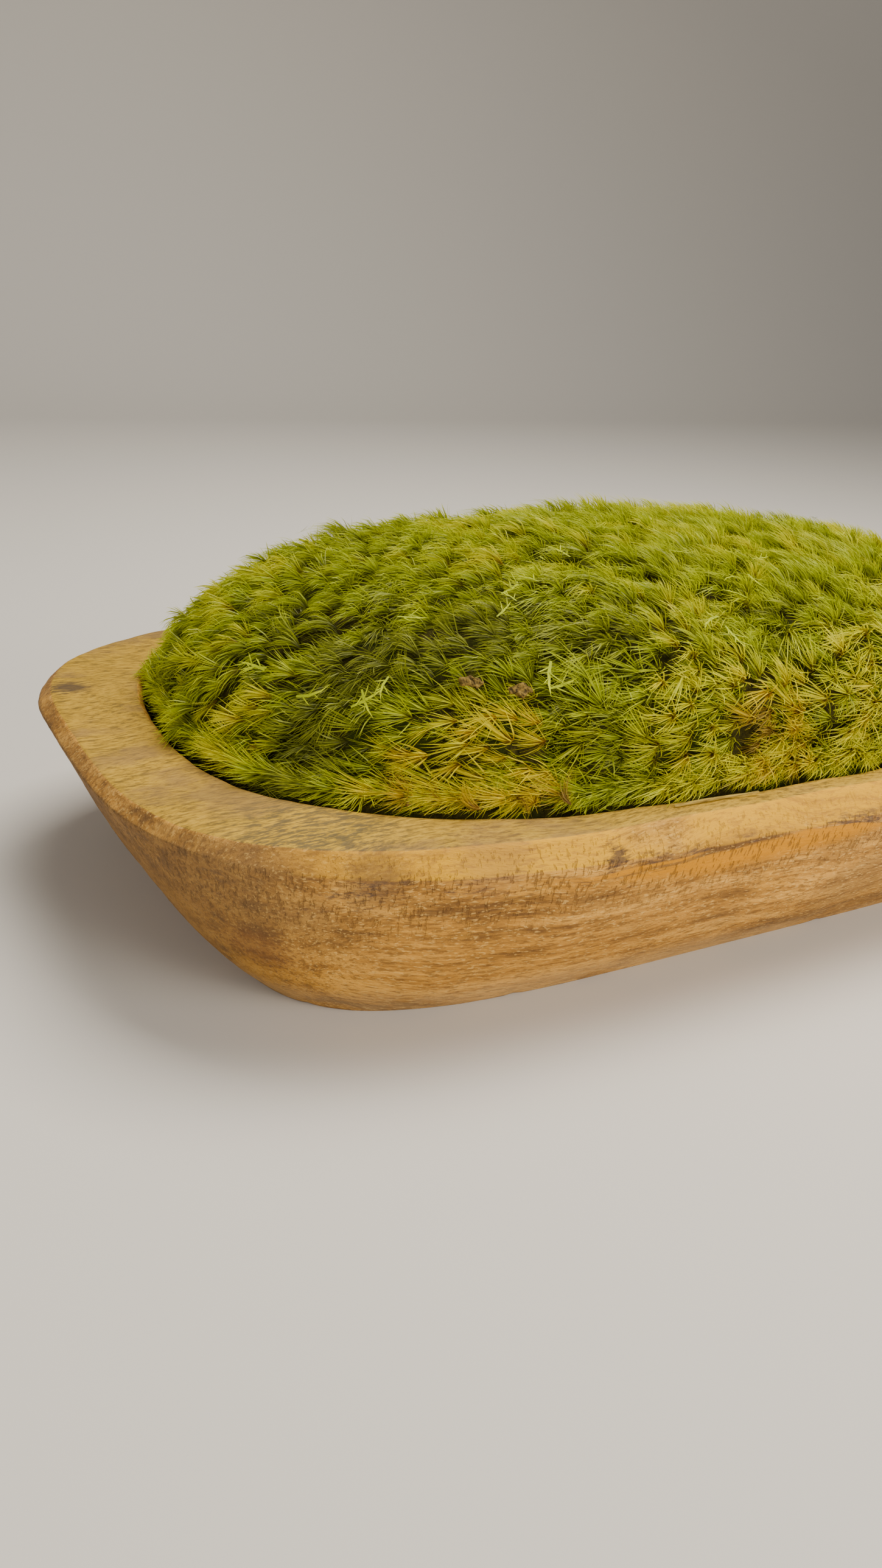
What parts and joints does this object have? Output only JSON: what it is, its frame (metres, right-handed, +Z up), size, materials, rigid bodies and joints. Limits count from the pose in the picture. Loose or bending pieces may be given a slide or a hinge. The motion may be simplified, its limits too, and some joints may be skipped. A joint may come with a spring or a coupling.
{
  "type": "moss clump in a carved wooden bowl",
  "caption": "Mound of cushion moss packed into a long hand-carved wooden dough bowl, with bark flakes and a straw, as a table centrepiece.",
  "frame": {"origin": "middle of the bowl's foot, on the table", "axes": "+X along the bowl to the end with the longer moss cushions, +Y across it to the back, +Z up"},
  "size_m": [0.43, 0.241, 0.1229],
  "materials": {
    "carved_wood": "Matte oiled hardwood, hand carved, golden brown with a greyer rim, dark stains and short tool marks.",
    "moss": "Dry, matte, long curved leaves, bright yellow-green at the tips and olive below.",
    "dark_moss": "Dry, matte, long curved leaves, darker olive with shaded gaps between the tufts.",
    "golden_moss": "Dry, matte, long curved leaves, golden yellow with brown tangled ends.",
    "straw": "Pale dry straw with a slight gloss.",
    "bark": "Rough tan and brown bark, torn at the edges."
  },
  "bodies": {
    "root": {"bowl": "carved_wood", "moss_cushion_left": "moss", "moss_cushion_side": "dark_moss", "moss_cushion_front": "golden_moss", "moss_cushion_centre": "moss", "moss_cushion_back": "moss", "moss_cushion_right": "moss", "moss_cushion_end": "moss", "straw_stem": "straw", "bark_flake_left": "bark", "bark_flake_right": "bark"}
  },
  "joints": []
}
